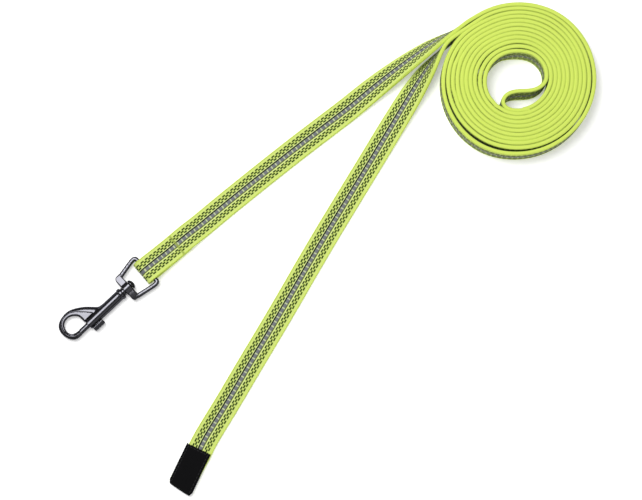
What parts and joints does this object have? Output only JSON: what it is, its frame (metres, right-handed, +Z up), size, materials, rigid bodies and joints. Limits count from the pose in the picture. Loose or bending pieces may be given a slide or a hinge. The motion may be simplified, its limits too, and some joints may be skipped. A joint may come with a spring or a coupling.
{
  "type": "training leash",
  "caption": "Long webbing training leash with a swivelling, tilting spring bolt snap and a sewn fabric end cap, wound on edge into a double spiral coil.",
  "frame": {"origin": "centre of the base of the whole laid-out object, on the surface that it lies on", "axes": "+X along the longest side, from the snap towards the coil; +Y across, from the capped end towards the coil; +Z up from the surface"},
  "size_m": [0.4284, 0.3933, 0.0202],
  "materials": {
    "webbing": "matte woven, bright yellow-green, with dark green grip yarns and a grey reflective centre line",
    "tack_thread": "matte thread",
    "cap_cloth": "matte black woven cloth",
    "cap_thread": "matte black thread",
    "black_nickel": "polished dark plating on cast zinc",
    "spring_steel": "bright drawn wire"
  },
  "bodies": {
    "strap": {"strap_loop": "webbing", "strap_hook_run": "webbing", "strap_coil": "webbing", "strap_bight": "webbing", "strap_end_run": "webbing", "tack_stitching": "tack_thread", "end_cap": "cap_cloth", "cap_stitching": "cap_thread"},
    "eye": {"swivel_eye": "black_nickel"},
    "hook": {"hook_body": "black_nickel", "swivel_rivet": "black_nickel", "bolt_spring": "spring_steel"},
    "bolt": {"snap_bolt": "black_nickel", "thumb_tab": "black_nickel"}
  },
  "joints": [
    {"name": "eye_tilt", "type": "hinge", "parent": "strap", "child": "eye", "pos_m": [-0.14517, -0.01853, 0.0048], "axis": [-0.6947, 0.7193, 0], "range_deg": [-120, 120]},
    {"name": "swivel", "type": "hinge", "parent": "eye", "child": "hook", "pos_m": [-0.16027, -0.03312, 0.0048], "axis": [0.7193, 0.6947, 0], "continuous": true},
    {"name": "bolt_slide", "type": "slide", "parent": "hook", "child": "bolt", "axis": [0.7193, 0.6947, 0], "range_m": [0, 0.0085], "stiffness_N_per_m": 350, "springref_m": -0.008, "deforming": ["bolt_spring"]}
  ]
}
